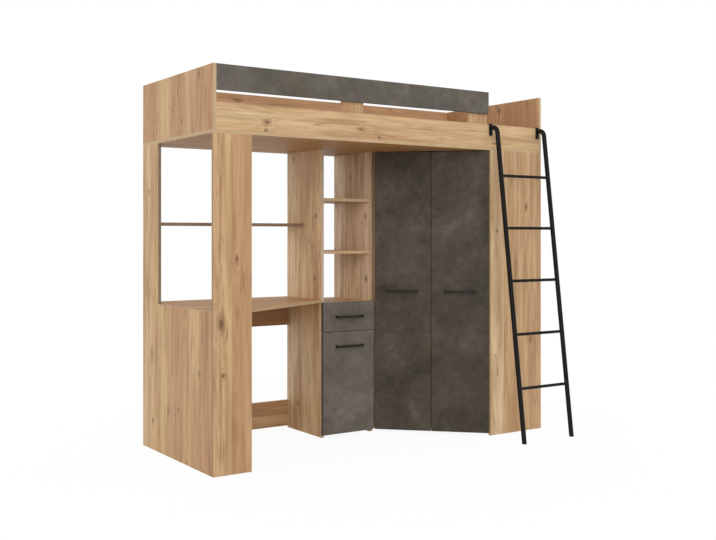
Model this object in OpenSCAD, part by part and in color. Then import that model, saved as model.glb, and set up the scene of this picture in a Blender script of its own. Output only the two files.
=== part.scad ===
// Loft bed with a desk, an open column, a small cabinet and a corner wardrobe below,
// and a steel ladder that hooks over the front rail. Laminated boards throughout.
// The part is drawn in a plan frame: x from the outer left face, y back from the
// front rail's face, z up from the floor. placed() then moves it to its own origin.

/* [Bed box] */
// Length over the two end panels
bed_l = 2036; // [1950:1:2120]
// Depth from the front rail's face to the rear face of the back panel
bed_d = 832; // [800:1:900]
// Height of the underside of the deck above the floor
deck_z = 1554; // [1500:1:1650]
// Height of the end panels and the back panel above the deck boards
panel_h = 298; // [280:1:340]
// Height of the front rail above the deck boards
rail_h = 124; // [110:1:140]
// Height of the safety rail board
safety_h = 118; // [100:1:130]
// Width of the ladder entrance, from the safety rail's end to the right end panel
entry_w = 375; // [374:1:450]
// Width of each upright behind the safety rail
upright_w = 126; // [100:1:150]
// Distance from the left end panel to the first upright
upright_x = 688; // [500:1:900]
// Width of the front one of the two deck boards
deck_front_w = 372; // [340:1:400]

/* [Boards] */
// Thickness of every laminated board
board_t = 16; // [15:0.5:18]
// Thickness of the thin back boards and of the drawer's bottom
back_t = 3; // [2.5:0.5:4]

/* [Uprights] */
// Width of the post at the front left corner
front_post_w = 196; // [150:1:230]
// Width of the post at the rear left corner
rear_post_w = 200; // [160:1:230]
// Distance from the outer left face to the left face of the column
column_x = 862; // [820:1:880]
// Width of the column over its two dividers
column_w = 332; // [300:1:350]
// Depth of the dividers
divider_d = 365; // [350:1:380]
// Width of the fixed panel at the front right corner
front_panel_w = 378; // [360:1:400]

/* [Desk] */
// Height of the desk's top face above the floor
desk_h = 744; // [720:1:780]
// Length of the desk's straight front edge beside the left side panel
desk_front_l = 108; // [40:1:170]
// Distance from the divider's front edge back to the desk's corner
desk_inset = 0; // [0:1:40]
// Height of the two boards that brace the desk at the rear
brace_h = 145; // [100:1:180]
// Distance from the floor to the lower brace
brace_floor_gap = 12; // [5:1:40]
// Height of the underside of the shelf over the desk
desk_shelf_z = 1140; // [1050:1:1250]
// Depth of the shelf over the desk
desk_shelf_d = 179; // [150:1:260]

/* [Column and cabinet] */
// Height of the cabinet's top face above the floor
cabinet_h = 728; // [700:1:735]
// Height of the underside of the lower column shelf
shelf_low_z = 990; // [900:1:1050]
// Height of the underside of the upper column shelf
shelf_high_z = 1276; // [1200:1:1350]
// Height of the underside of the shelf inside the cabinet
cabinet_shelf_z = 290; // [240:1:340]
// Height of the drawer's front
drawer_front_h = 158; // [150:1:170]
// Distance from the floor to the doors and to the bottom boards
floor_gap = 14; // [10:1:30]
// Gap between neighbouring fronts
front_gap = 3; // [2:0.5:4]
// Gap between a front's inner face and the board behind it
seat_gap = 2; // [1.5:0.5:3]

/* [Corner wardrobe] */
// How far the left door's edge stands to the right of the divider's corner
door_side_step = 6; // [4:0.5:10]
// How far the left door's edge stands in front of the divider's corner
door_front_step = 20; // [16:0.5:26]
// Distance from the fixed panel's edge to the right door's outer corner
door_panel_step = 14; // [13.5:0.5:20]
// Reach of the hinge stiles behind the doors, from each door's hinged edge
stile_reach = 34; // [30:1:40]
// Height of the underside of the wardrobe's shelf
wardrobe_shelf_z = 1290; // [1180:1:1350]
// Distance from the shelf's underside down to the hanging rail's axis
hanging_rail_drop = 75; // [50:1:120]
// Diameter of the hanging rail
hanging_rail_dia = 25; // [18:1:30]

/* [Drawer] */
// Height of the drawer's sides
drawer_side_h = 110; // [90:1:116]
// Length of the drawer's sides
drawer_l = 350; // [300:1:352]
// Thickness of the drawer's sides and back
drawer_side_t = 12; // [10:1:14]
// Width of the gap beside the drawer that takes one runner
runner_gap = 13; // [12:0.5:16]
// Height of the runners
runner_h = 35; // [27:1:45]

/* [Handles] */
// Distance between a handle's screws
handle_pitch = 160; // [96:1:192]
// Width of a handle's bar and legs
handle_w = 12; // [10:0.5:14]
// Depth of a handle's bar
handle_bar_t = 8; // [6:0.5:10]
// Distance that a handle stands out from its front
handle_out = 28; // [24:1:34]
// Distance from the cabinet door's top edge down to its handle
handle_drop = 78; // [50:1:120]

/* [Hinges] */
// Diameter of a hinge cup
cup_dia = 35; // [26:1:35]
// Depth of a hinge cup
cup_depth = 11; // [10:0.5:12]
// Distance from a door's edge to the rim of its hinge cup
cup_margin = 5; // [4:0.5:6]
// Distance from a door's ends to its outer hinges
hinge_end = 92; // [80:1:120]

/* [Ladder] */
// Distance between the axes of the two stiles
ladder_w = 348; // [320:1:348]
// Diameter of the stiles
stile_dia = 25; // [22:1:26]
// Wall of the stiles
stile_wall = 1.5; // [1.2:0.1:2.5]
// Lean of the stiles from upright, in degrees
ladder_lean = 7.2; // [4:0.1:12]
// Radius of the bend at the top of each stile
bend_r = 34; // [28:1:50]
// Length of tube between the bend and the hook
stub_l = 18; // [8:1:40]
// Distance from the rail's top edge down to the axis of the stile's end
stile_end_drop = 18; // [15:1:40]
// Diameter of the rungs
rung_dia = 16; // [12:1:20]
// Number of rungs
rung_count = 5; // [3:1:5]
// Height of the lowest rung's axis
rung_first = 283; // [250:1:320]
// Distance between rungs
rung_pitch = 282; // [240:1:290]
// Width of the hooks' flat steel
hook_w = 25; // [20:1:25]
// Thickness of the hooks' flat steel
hook_t = 3; // [2:0.5:5]
// Length of a hook's leg in front of the rail
hook_front_l = 61; // [45:1:80]
// Length of a hook's leg behind the rail
hook_back_l = 36; // [20:1:50]
// Height of the plastic foot under each stile
foot_h = 12; // [8:1:25]

/* [Fasteners] */
// Diameter of a cam lock
cam_dia = 15; // [12:1:15]
// Distance from a board's end to the middle of its cam
cam_reach = 34; // [24:1:40]
// Diameter of a cam's bolt
bolt_dia = 7; // [5:0.5:8]
// Depth of a bolt in the board it is screwed into
bolt_depth = 11; // [8:0.5:12]
// Diameter of a board screw's shank
screw_dia = 7; // [5:0.5:7]
// Length of a board screw
screw_l = 50; // [40:1:60]
// Diameter of a shelf pin
pin_dia = 5; // [4:0.5:6]
// Distance from the case's rear edge, or a divider's front edge, to the joints and pins in it
joint_in = 60; // [45:1:80]
// Distance between the two joints of a wardrobe board on the column's divider
joint_pitch = 180; // [140:1:210]
// Distance from the fixed panel's rear face to the joint beside it
panel_joint_in = 80; // [60:1:120]

/* [Hidden] */

// Facets of every round form; all of them are true curves.
$fn = 48;

// Clearance round a piece that sits in its own hole, and between moving and fixed faces.
fit = 0.05;
move_gap = 0.3;

oak = "#c4a078";
concrete = "#67615b";
dark = "#524b44";
black = "#2a2724";
steel = "#b9bcc0";
board_brown = "#8a6f52";

// Heights
deck_top = deck_z + board_t;
bed_top = deck_top + panel_h;
rail_top = deck_top + rail_h;
desk_under = desk_h - board_t;
bottom_z = floor_gap + 2;

// Places across the bed
in_l = board_t;
in_r = bed_l - board_t;
column_r = column_x + column_w;
bay_l = column_x + board_t;
bay_r = column_r - board_t;
panel_x = bed_l - front_panel_w;
safety_end = in_r - entry_w;
entry_mid = (safety_end + in_r) / 2;
stile_x = [entry_mid - ladder_w / 2, entry_mid + ladder_w / 2];

// Places from front to rear; the thin backs close the rear of the lower part
case_rear = bed_d - back_t;
in_rear = bed_d - board_t;
divider_y = case_rear - divider_d;
front_in = divider_y - seat_gap;
front_out = front_in - board_t;
desk_shelf_y = case_rear - desk_shelf_d;

// Fronts of the cabinet
drawer_z0 = cabinet_h - 1 - drawer_front_h;
door_low = floor_gap;
cabinet_door_h = drawer_z0 - front_gap - door_low;
front_mid = column_x + column_w / 2;

// The wardrobe's doors stand on a slanted line from door_l to door_r
door_l = [column_r + door_side_step, divider_y - door_front_step];
door_r = [panel_x - door_panel_step, 0];
slant = atan2(door_l[1] - door_r[1], door_r[0] - door_l[0]);
slant_l = norm(door_r - door_l);
wardrobe_door_w = (slant_l - front_gap) / 2;
wardrobe_door_h = deck_z - front_gap - door_low;
stile_y = board_t + seat_gap;
stile_rear = stile_y + board_t;

// A place on the slanted line, from the distance along it and the distance behind it
function slanted(u, v) = door_l + [u * cos(slant) + v * sin(slant), v * cos(slant) - u * sin(slant)];
// Where a line parallel to the doors meets the divider's face and the fixed panel's rear
function meets_divider(v) = (column_r - door_l[0] - v * sin(slant)) / cos(slant);
function meets_panel(v) = (door_l[1] - board_t + v * cos(slant)) / sin(slant);

// Drawer
drawer_in_l = bay_l + runner_gap;
drawer_in_r = bay_r - runner_gap;
drawer_side_z = drawer_z0 + (drawer_front_h - drawer_side_h) / 2 - 3;
drawer_bottom_z = drawer_side_z + 8;
groove_d = drawer_side_t / 4;
runner_z = drawer_side_z + drawer_side_h / 2;
track_web = 1.5;
track_depth = runner_gap - 3;
runner_front = front_in + 8;

// Handles
handle_l = handle_pitch + handle_w;
drawer_handle_z = drawer_z0 + drawer_front_h / 2;
door_handle_z = door_low + cabinet_door_h - handle_drop;
wardrobe_handle_z = door_low + wardrobe_door_h / 2;
handle_screw_dia = 4;
handle_screw_grip = 10;
screw_head_dia = 8;
screw_head_t = 2.5;

// Hinges: cups, arms and plates
cup_in = cup_margin + cup_dia / 2;
cup_wall = 2;
cup_floor = 1.2;
ear_r = 6;
ear_pitch = 24;
corner_cup_in = stile_reach + cup_margin + cup_margin;
flange_t = 1.2;
hinge_gap = flange_t + 0.4;
arm_w = 14;
side_arm_l = 62;
side_arm_t = 8;
side_plate_l = 40;
corner_arm_t = 7;
corner_tip_w = 10;
corner_plate_w = 22;
corner_plate_in = 4;
plate_h = 46;
plate_t = 2.5;
cabinet_hinges = [door_low + hinge_end, door_low + cabinet_door_h - hinge_end];
wardrobe_hinges = [
    door_low + hinge_end,
    door_low + wardrobe_door_h / 2,
    door_low + wardrobe_door_h - hinge_end
];

// Ladder: the stile's line in the y and z plane, from its foot to its horizontal end
stile_end_z = rail_top - stile_end_drop;
hook_face = -move_gap - hook_t;
bend_y = hook_face - stub_l;
bend_z = stile_end_z - bend_r;
lean_top_y = bend_y - bend_r * cos(ladder_lean);
lean_top_z = bend_z + bend_r * sin(ladder_lean);
foot_y = lean_top_y - lean_top_z * tan(ladder_lean);
stile_l = lean_top_z / cos(ladder_lean);
function stile_at(z) = lean_top_y - (lean_top_z - z) * tan(ladder_lean);

// The origin lies on the floor, under the middle of the part's own box
origin_x = bed_l / 2;
origin_y = (bed_d + foot_y - stile_dia / 2 / cos(ladder_lean)) / 2;

// Fastener places. A joint is [place, way, face]: the middle of a board's end, the way the
// board lies from there, and the way out of the face that its cam lock opens in.
under = [0, 0, -1];
rear = [0, 1, 0];
function end_pair(x0, x1, y, z, face) = [[[x0, y, z], [1, 0, 0], face], [[x1, y, z], [-1, 0, 0], face]];
function shelf_pairs(x0, x1, y0, y1, z) = concat(
    end_pair(x0, x1, y0 + cam_reach, z + board_t / 2, under),
    end_pair(x0, x1, y1 - cam_reach, z + board_t / 2, under)
);
function brace_pairs(x0, x1, z0, h, y) = concat(
    end_pair(x0, x1, y, z0 + h / 4, rear),
    end_pair(x0, x1, y, z0 + h * 3 / 4, rear)
);
desk_shelf_joints = shelf_pairs(in_l, column_x, desk_shelf_y, case_rear, desk_shelf_z);
desk_mid_z = desk_under + board_t / 2;
desk_joints = concat(
    end_pair(in_l, column_x, case_rear - cam_reach * 2, desk_mid_z, under),
    [
        [[in_l, (bed_d - rear_post_w) / 2, desk_mid_z], [1, 0, 0], under],
        [[column_x, divider_y + cam_reach * 2, desk_mid_z], [-1, 0, 0], under]
    ]
);
brace_y = bed_d - board_t / 2;
back_brace_joints = brace_pairs(in_l, column_x, desk_under - brace_h, brace_h, brace_y);
floor_brace_joints = brace_pairs(in_l, column_x, brace_floor_gap, brace_h, brace_y);
low_shelf_joints = shelf_pairs(bay_l, bay_r, divider_y, case_rear, shelf_low_z);
high_shelf_joints = shelf_pairs(bay_l, bay_r, divider_y, case_rear, shelf_high_z);
top_joints = shelf_pairs(bay_l, bay_r, divider_y, case_rear, cabinet_h - board_t);
bottom_joints = shelf_pairs(bay_l, bay_r, divider_y, case_rear, bottom_z);
joint_rear = case_rear - joint_in;
joint_mid = joint_rear - joint_pitch;
joint_front = board_t + panel_joint_in;
bottom_mid_z = bottom_z + board_t / 2;
wardrobe_joints = [
    [[column_r, joint_rear, bottom_mid_z], [1, 0, 0], under],
    [[column_r, joint_mid, bottom_mid_z], [1, 0, 0], under],
    [[in_r, joint_rear, bottom_mid_z], [-1, 0, 0], under],
    [[in_r, joint_front, bottom_mid_z], [-1, 0, 0], under]
];
side_joint_z = [desk_h * 0.25, desk_h * 0.72];
side_front_joints = [for (z = side_joint_z)
    [[board_t / 2, board_t, z], [0, 1, 0], [1, 0, 0]]];
side_rear_joints = [for (z = side_joint_z)
    [[board_t / 2, bed_d - rear_post_w, z], [0, -1, 0], [1, 0, 0]]];
right_panel_joints = [for (z = [deck_z / 8, deck_z / 2, deck_z * 7 / 8])
    [[bed_l - board_t / 2, board_t, z], [0, 1, 0], [-1, 0, 0]]];
back_panel_joints = brace_pairs(in_l, in_r, deck_top, panel_h, brace_y);
front_rail_joints = brace_pairs(in_l, in_r, deck_top, rail_h, board_t / 2);
safety_joints = [for (z = [bed_top - safety_h * 3 / 4, bed_top - safety_h / 4])
    [[in_l, board_t / 2, z], [1, 0, 0], rear]];
all_joints = concat(
    desk_shelf_joints, desk_joints, back_brace_joints, floor_brace_joints, low_shelf_joints,
    high_shelf_joints, top_joints, bottom_joints, wardrobe_joints, side_front_joints,
    side_rear_joints, right_panel_joints, back_panel_joints, front_rail_joints, safety_joints
);

// Board screws: [place of the head's face, way the screw points]
down = [0, 0, -1];
up = [0, 0, 1];
edge_in = 40;
post_tops = [
    [[edge_in, board_t / 2, deck_top], down],
    [[front_post_w - edge_in, board_t / 2, deck_top], down],
    [[board_t / 2, bed_d - edge_in, deck_top], down],
    [[board_t / 2, bed_d - rear_post_w + edge_in, deck_top], down],
    [[panel_x + edge_in, board_t / 2, deck_top], down],
    [[bed_l - edge_in * 2, board_t / 2, deck_top], down],
    [[bed_l - board_t / 2, case_rear / 3, deck_top], down],
    [[bed_l - board_t / 2, case_rear * 3 / 4, deck_top], down]
];
divider_tops = [for (x = [column_x + board_t / 2, column_r - board_t / 2])
    for (y = [divider_y + edge_in, case_rear - edge_in]) [[x, y, deck_top], down]];
end_foot_y = [bed_d * 0.27, bed_d * 0.55];
rail_foot_x = [bed_l * 0.25, bed_l * 0.53];
back_foot_x = concat(rail_foot_x, [bed_l * 0.83]);
panel_feet = concat(
    [for (x = [board_t / 2, bed_l - board_t / 2]) for (y = end_foot_y) [[x, y, deck_z], up]],
    [for (x = rail_foot_x) [[x, board_t / 2, deck_z], up]],
    [for (x = back_foot_x) [[x, bed_d - board_t / 2, deck_z], up]]
);
upright_screws = [for (x = [in_l + upright_x, safety_end - upright_w])
    for (dx = [upright_w / 4, upright_w * 3 / 4])
        for (z = [deck_top + rail_h / 2, bed_top - safety_h / 2])
            [[x + dx, board_t * 2, z], [0, -1, 0]]];
upright_screw_l = board_t * 2 - 5;
board_head_t = 3;
board_head_dia = screw_dia + 3;

// Shelf pins: [place on the board's face, way the pin stands out]
pin_z = -pin_dia / 2 - fit;
cabinet_pins = [for (y = [divider_y + joint_in, joint_rear]) for (s = [1, -1])
    [[s > 0 ? bay_l : bay_r, y, cabinet_shelf_z + pin_z], s]];
wardrobe_pins = [
    [[column_r, joint_rear, wardrobe_shelf_z + pin_z], 1],
    [[column_r, joint_mid, wardrobe_shelf_z + pin_z], 1],
    [[in_r, joint_rear, wardrobe_shelf_z + pin_z], -1],
    [[in_r, joint_front, wardrobe_shelf_z + pin_z], -1]
];
pin_l = 8;

// Moves a shape from the plan frame to the part's own frame
module placed() {
    translate([-origin_x, -origin_y, 0]) children();
}

// A plain board between two places on each axis
module board(x0, x1, y0, y1, z0, z1) {
    translate([x0, y0, z0]) cube([x1 - x0, y1 - y0, z1 - z0]);
}

// Turns a shape drawn along z so that it runs along v
module along(v) {
    rotate([0, acos(v[2] / norm(v)), atan2(v[1], v[0])]) children();
}

// A cam lock's body, or with a clearance its hole
module cam(j, gap = 0) {
    depth = board_t * 0.78;
    translate(j[0] + j[1] * cam_reach + j[2] * (board_t / 2))
        along(-j[2])
            translate([0, 0, -gap]) cylinder(d = cam_dia + gap * 2, h = depth + gap * 2);
}

// A cam's bolt, or with a clearance its hole from the cam lock into the next board
module bolt(j, gap = 0) {
    reach = gap > 0 ? cam_reach : cam_reach - cam_dia / 2 - move_gap;
    translate(j[0] - j[1] * (bolt_depth + gap))
        along(j[1])
            cylinder(d = bolt_dia + gap * 2, h = bolt_depth + gap + reach);
}

module cam_holes(joints) {
    for (j = joints) {
        cam(j, fit);
        bolt(j, fit);
    }
}

module bolt_holes(joints) {
    for (j = joints) bolt(j, fit);
}

// Joints of one board that end on the plane x
function ends_at(joints, x) = [for (j = joints) if (abs(j[0][0] - x) < 0.5) j];

// A board screw with its flat head, or with a clearance its hole
module board_screw(s, l = screw_l, gap = 0) {
    translate(s[0]) along(s[1]) {
        translate([0, 0, -gap])
            cylinder(d = board_head_dia + gap * 2, h = board_head_t + gap * 2);
        cylinder(d = screw_dia + gap * 2, h = l + gap);
    }
}

module screw_holes(screws, l = screw_l) {
    for (s = screws) board_screw(s, l, fit);
}

module pin(p, gap = 0) {
    translate([p[0][0] - p[1] * (pin_l + gap), p[0][1], p[0][2]])
        along([p[1], 0, 0]) cylinder(d = pin_dia + gap * 2, h = pin_l * 2 + gap);
}

module pin_holes(pins) {
    for (p = pins) pin(p, fit);
}

// The slanted line's own frame: x along the doors, y into the wardrobe
module on_slant() {
    translate([door_l[0], door_l[1], 0]) rotate([0, 0, -slant]) children();
}

// A front board with its cup pockets and screw holes: cups and screws are [x, z] places
module front_panel(w, h, cups, screws) {
    difference() {
        cube([w, board_t, h]);
        for (c = cups)
            translate([c[0], board_t - cup_depth - fit, c[1]])
                rotate([-90, 0, 0]) cylinder(d = cup_dia + fit * 2, h = cup_depth + 1);
        for (s = screws)
            translate([s[0], -1, s[1]])
                rotate([-90, 0, 0]) cylinder(d = handle_screw_dia + fit * 2, h = board_t + 2);
    }
}

function screw_pair(x, z) = [[x - handle_pitch / 2, z], [x + handle_pitch / 2, z]];

// A bow handle: one flat bar with both ends bent back to the front it is screwed to
module bow_handle() {
    outer_r = 7;
    inner_r = 3;
    difference() {
        translate([0, 0, -handle_w / 2]) linear_extrude(height = handle_w) difference() {
            translate([-handle_l / 2, -handle_out]) square([handle_l, handle_out]);
            translate([-handle_l / 2 + handle_w, -handle_out + handle_bar_t]) difference() {
                square([handle_l - handle_w * 2, handle_out]);
                for (m = [0, 1])
                    translate([m * (handle_l - handle_w * 2), 0]) mirror([m, 0]) difference() {
                        square(inner_r);
                        translate([inner_r, inner_r]) circle(r = inner_r);
                    }
            }
            for (m = [0, 1])
                mirror([m, 0]) translate([-handle_l / 2, -handle_out]) difference() {
                    translate([-1, -1]) square(outer_r + 1);
                    translate([outer_r, outer_r]) circle(r = outer_r);
                }
        }
        for (s = [-1, 1])
            translate([s * handle_pitch / 2, -handle_screw_grip - fit, 0])
                rotate([-90, 0, 0]) cylinder(d = handle_screw_dia + fit * 2, h = handle_screw_grip + 1);
    }
}

// The two screws of a handle, with their heads on the front's inner face
module handle_screws(x, z) {
    for (s = screw_pair(x, z))
        translate([s[0], -handle_screw_grip, s[1]]) rotate([-90, 0, 0]) {
            cylinder(d = handle_screw_dia, h = handle_screw_grip + board_t);
            translate([0, 0, handle_screw_grip + board_t])
                cylinder(d = screw_head_dia, h = screw_head_t);
        }
}

// A hinge cup sunk in a door, with its flange on the door's inner face
module hinge_cup(x, z) {
    cup_r = cup_dia / 2;
    translate([x, board_t, z]) rotate([-90, 0, 0]) difference() {
        union() {
            translate([0, 0, -cup_depth]) cylinder(r = cup_r, h = cup_depth);
            linear_extrude(height = flange_t) union() {
                circle(r = cup_r);
                translate([-ear_r, -ear_pitch]) square([ear_r * 2, ear_pitch * 2]);
                for (s = [-1, 1]) translate([0, s * ear_pitch]) circle(r = ear_r);
            }
        }
        translate([0, 0, cup_floor - cup_depth])
            cylinder(r = cup_r - cup_wall, h = cup_depth * 2);
    }
}

// A straight hinge arm and its plate on the inner face of the column's divider
module side_arm(z) {
    arm_y = front_in + hinge_gap;
    translate([bay_l, divider_y + board_t, z - plate_h / 2])
        cube([plate_t, side_plate_l, plate_h]);
    translate([bay_l + plate_t, arm_y, z - arm_w / 2]) cube([side_arm_t, side_arm_l, arm_w]);
}

// A cranked hinge arm and its plate on the rear face of a hinge stile, in the frame of the
// slanted line; u0 is the door's hinged edge and s the way from there to the door's middle
module corner_arm(u0, s, z) {
    lead = stile_reach + cup_margin;
    plate_x = stile_reach - corner_plate_w - corner_plate_in;
    arm_x = plate_x + corner_plate_in / 2;
    arm_y = stile_rear + plate_t;
    tip_y = board_t + hinge_gap;
    translate([u0, 0, z]) mirror([s < 0 ? 1 : 0, 0, 0]) {
        translate([plate_x, stile_rear, -plate_h / 2]) cube([corner_plate_w, plate_t, plate_h]);
        translate([arm_x, arm_y, -arm_w / 2])
            cube([lead + corner_tip_w - arm_x, corner_arm_t, arm_w]);
        translate([lead, tip_y, -arm_w / 2]) cube([corner_tip_w, arm_y - tip_y, arm_w]);
    }
}

// The outline of the wardrobe's bottom and shelf
module wardrobe_outline() {
    polygon([
        [column_r, case_rear],
        slanted(meets_divider(stile_rear), stile_rear),
        slanted(meets_panel(stile_rear), stile_rear),
        [in_r, board_t],
        [in_r, case_rear]
    ]);
}

// The straight part of a stile as a rod: low is the distance from the floor to its lower
// end along the lean.
module straight_rod(r, low, over = 0) {
    translate([0, lean_top_y, lean_top_z]) rotate([-ladder_lean, 0, 0])
        translate([0, 0, low - stile_l]) cylinder(r = r, h = stile_l - low + over);
}

// The bend at a stile's top and its level end as a rod
module bent_rod(r, more = 0, over = 0) {
    translate([0, bend_y, bend_z]) rotate([180, -90, 0])
        rotate_extrude(angle = 90 - ladder_lean + more) translate([bend_r, 0]) circle(r = r);
    translate([0, bend_y, stile_end_z]) rotate([-90, 0, 0]) cylinder(r = r, h = stub_l + over);
}

// A stile: a straight tube, welded end to end to its bent top
module stile(x) {
    bore = stile_dia / 2 - stile_wall;
    translate([x, 0, 0]) {
        difference() {
            straight_rod(stile_dia / 2, foot_h);
            straight_rod(bore, foot_h - 1, 1);
        }
        difference() {
            bent_rod(stile_dia / 2);
            bent_rod(bore, 2, 1);
        }
    }
}

// Uprights of the lower part
module left_front_post() {
    placed() color(oak) difference() {
        board(0, front_post_w, 0, board_t, 0, deck_z);
        screw_holes(post_tops);
        bolt_holes(side_front_joints);
    }
}

module left_rear_post() {
    placed() color(oak) difference() {
        board(0, board_t, bed_d - rear_post_w, bed_d, 0, deck_z);
        screw_holes(post_tops);
        bolt_holes(ends_at(concat(desk_shelf_joints, desk_joints, back_brace_joints,
            floor_brace_joints), in_l));
        bolt_holes(side_rear_joints);
    }
}

module left_side_panel() {
    placed() color(oak) difference() {
        board(0, board_t, board_t, bed_d - rear_post_w, 0, desk_h);
        bolt_holes(ends_at(desk_joints, in_l));
        cam_holes(side_front_joints);
        cam_holes(side_rear_joints);
    }
}

module divider_left() {
    placed() color(oak) difference() {
        board(column_x, bay_l, divider_y, case_rear, 0, deck_z);
        screw_holes(divider_tops);
        bolt_holes(ends_at(concat(desk_shelf_joints, desk_joints, back_brace_joints,
            floor_brace_joints), column_x));
        bolt_holes(ends_at(concat(low_shelf_joints, high_shelf_joints, top_joints,
            bottom_joints), bay_l));
        pin_holes(cabinet_pins);
    }
}

module divider_right() {
    placed() color(oak) difference() {
        board(bay_r, column_r, divider_y, case_rear, 0, deck_z);
        screw_holes(divider_tops);
        bolt_holes(ends_at(concat(low_shelf_joints, high_shelf_joints, top_joints,
            bottom_joints), bay_r));
        bolt_holes(ends_at(wardrobe_joints, column_r));
        pin_holes(cabinet_pins);
        pin_holes(wardrobe_pins);
    }
}

module front_right_panel() {
    placed() color(oak) difference() {
        board(panel_x, bed_l, 0, board_t, 0, deck_z);
        screw_holes(post_tops);
        bolt_holes(right_panel_joints);
    }
}

module right_side_panel() {
    placed() color(oak) difference() {
        board(in_r, bed_l, board_t, case_rear, 0, deck_z);
        screw_holes(post_tops);
        cam_holes(right_panel_joints);
        bolt_holes(ends_at(wardrobe_joints, in_r));
        pin_holes(wardrobe_pins);
    }
}

// A stile behind the doors' hinged edges, from the wardrobe's bottom board up to the deck
module hinge_stile(outline) {
    placed() color(oak) on_slant() translate([0, 0, bottom_z])
        linear_extrude(height = deck_z - bottom_z) polygon(outline);
}

module hinge_stile_left() {
    hinge_stile([
        [meets_divider(stile_y), stile_y],
        [stile_reach, stile_y],
        [stile_reach, stile_rear],
        [meets_divider(stile_rear), stile_rear]
    ]);
}

module hinge_stile_right() {
    hinge_stile([
        [meets_panel(stile_y), stile_y],
        [slant_l - stile_reach, stile_y],
        [slant_l - stile_reach, stile_rear],
        [meets_panel(stile_rear), stile_rear]
    ]);
}

// Desk
module desk_top() {
    placed() color(oak) difference() {
        translate([0, 0, desk_under]) linear_extrude(height = board_t) polygon([
            [in_l, board_t],
            [in_l + desk_front_l, board_t],
            [column_x, divider_y + desk_inset],
            [column_x, bed_d],
            [in_l, bed_d]
        ]);
        cam_holes(desk_joints);
    }
}

module desk_back_brace() {
    placed() color(oak) difference() {
        board(in_l, column_x, in_rear, bed_d, desk_under - brace_h, desk_under);
        cam_holes(back_brace_joints);
    }
}

module floor_brace() {
    placed() color(oak) difference() {
        board(in_l, column_x, in_rear, bed_d, brace_floor_gap, brace_floor_gap + brace_h);
        cam_holes(floor_brace_joints);
    }
}

module desk_shelf() {
    placed() color(oak) difference() {
        board(in_l, column_x, desk_shelf_y, case_rear, desk_shelf_z, desk_shelf_z + board_t);
        cam_holes(desk_shelf_joints);
    }
}

// Column and cabinet
module bay_board(z, joints) {
    placed() color(oak) difference() {
        board(bay_l, bay_r, divider_y, case_rear, z, z + board_t);
        cam_holes(joints);
    }
}

module cabinet_top() {
    bay_board(cabinet_h - board_t, top_joints);
}

module cabinet_bottom() {
    bay_board(bottom_z, bottom_joints);
}

module column_shelf_lower() {
    bay_board(shelf_low_z, low_shelf_joints);
}

module column_shelf_upper() {
    bay_board(shelf_high_z, high_shelf_joints);
}

module cabinet_shelf() {
    side = 1;
    placed() color(oak) board(bay_l + side, bay_r - side, divider_y + 20, case_rear - 1,
        cabinet_shelf_z, cabinet_shelf_z + board_t);
}

module cabinet_back() {
    placed() color(board_brown) board(column_x + 1, column_r - board_t / 2 - 0.5,
        case_rear, bed_d, bottom_z, cabinet_h);
}

// Corner wardrobe
module wardrobe_back() {
    placed() color(board_brown) board(column_r - board_t / 2 + 0.5, bed_l - 1,
        case_rear, bed_d, bottom_z, deck_z);
}

module wardrobe_bottom() {
    placed() color(oak) difference() {
        translate([0, 0, bottom_z]) linear_extrude(height = board_t) wardrobe_outline();
        cam_holes(wardrobe_joints);
    }
}

module wardrobe_shelf() {
    placed() color(oak) translate([0, 0, wardrobe_shelf_z]) linear_extrude(height = board_t)
        wardrobe_outline();
}

hanging_y = (divider_y + case_rear) / 2;
hanging_z = wardrobe_shelf_z - hanging_rail_drop;
rail_wall = 1.2;
socket_t = 10;
socket_wall = 3;
flange_w = 12;
socket_floor = 2;
rail_end = socket_floor + 0.5;

module hanging_rail() {
    placed() color(steel) translate([column_r + rail_end, hanging_y, hanging_z])
        rotate([0, 90, 0]) difference() {
            cylinder(d = hanging_rail_dia, h = in_r - column_r - rail_end * 2);
            translate([0, 0, -1])
                cylinder(d = hanging_rail_dia - rail_wall * 2, h = in_r - column_r);
        }
}

module hanging_rail_sockets() {
    placed() color(steel) for (s = [1, -1])
        translate([s > 0 ? column_r : in_r, hanging_y, hanging_z]) rotate([0, s * 90, 0])
            difference() {
                union() {
                    cylinder(d = hanging_rail_dia + flange_w * 2, h = socket_floor);
                    cylinder(d = hanging_rail_dia + socket_wall * 2, h = socket_t);
                }
                translate([0, 0, socket_floor])
                    cylinder(d = hanging_rail_dia + fit * 2, h = socket_t);
            }
}

// Bed box
module deck_board(y0, y1) {
    placed() color(oak) difference() {
        board(0, bed_l, y0, y1, deck_z, deck_top);
        screw_holes([for (s = concat(post_tops, divider_tops, panel_feet))
            if (s[0][1] > y0 && s[0][1] < y1) s]);
    }
}

module deck_front() {
    deck_board(0, deck_front_w);
}

module deck_rear() {
    deck_board(deck_front_w, bed_d);
}

module end_panel(x0, x1, joints) {
    placed() color(oak) difference() {
        board(x0, x1, 0, bed_d, deck_top, bed_top);
        screw_holes([for (s = panel_feet) if (s[0][0] > x0 && s[0][0] < x1) s]);
        bolt_holes(joints);
    }
}

module end_panel_left() {
    end_panel(0, in_l, ends_at(concat(back_panel_joints, front_rail_joints, safety_joints), in_l));
}

module end_panel_right() {
    end_panel(in_r, bed_l, ends_at(concat(back_panel_joints, front_rail_joints), in_r));
}

module bed_back_panel() {
    placed() color(oak) difference() {
        board(in_l, in_r, in_rear, bed_d, deck_top, bed_top);
        screw_holes([for (s = panel_feet) if (s[0][1] > in_rear) s]);
        cam_holes(back_panel_joints);
    }
}

module front_rail() {
    placed() color(oak) difference() {
        board(in_l, in_r, 0, board_t, deck_top, rail_top);
        screw_holes([for (s = panel_feet) if (s[0][1] < board_t) s]);
        screw_holes(upright_screws, upright_screw_l);
        cam_holes(front_rail_joints);
    }
}

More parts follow.
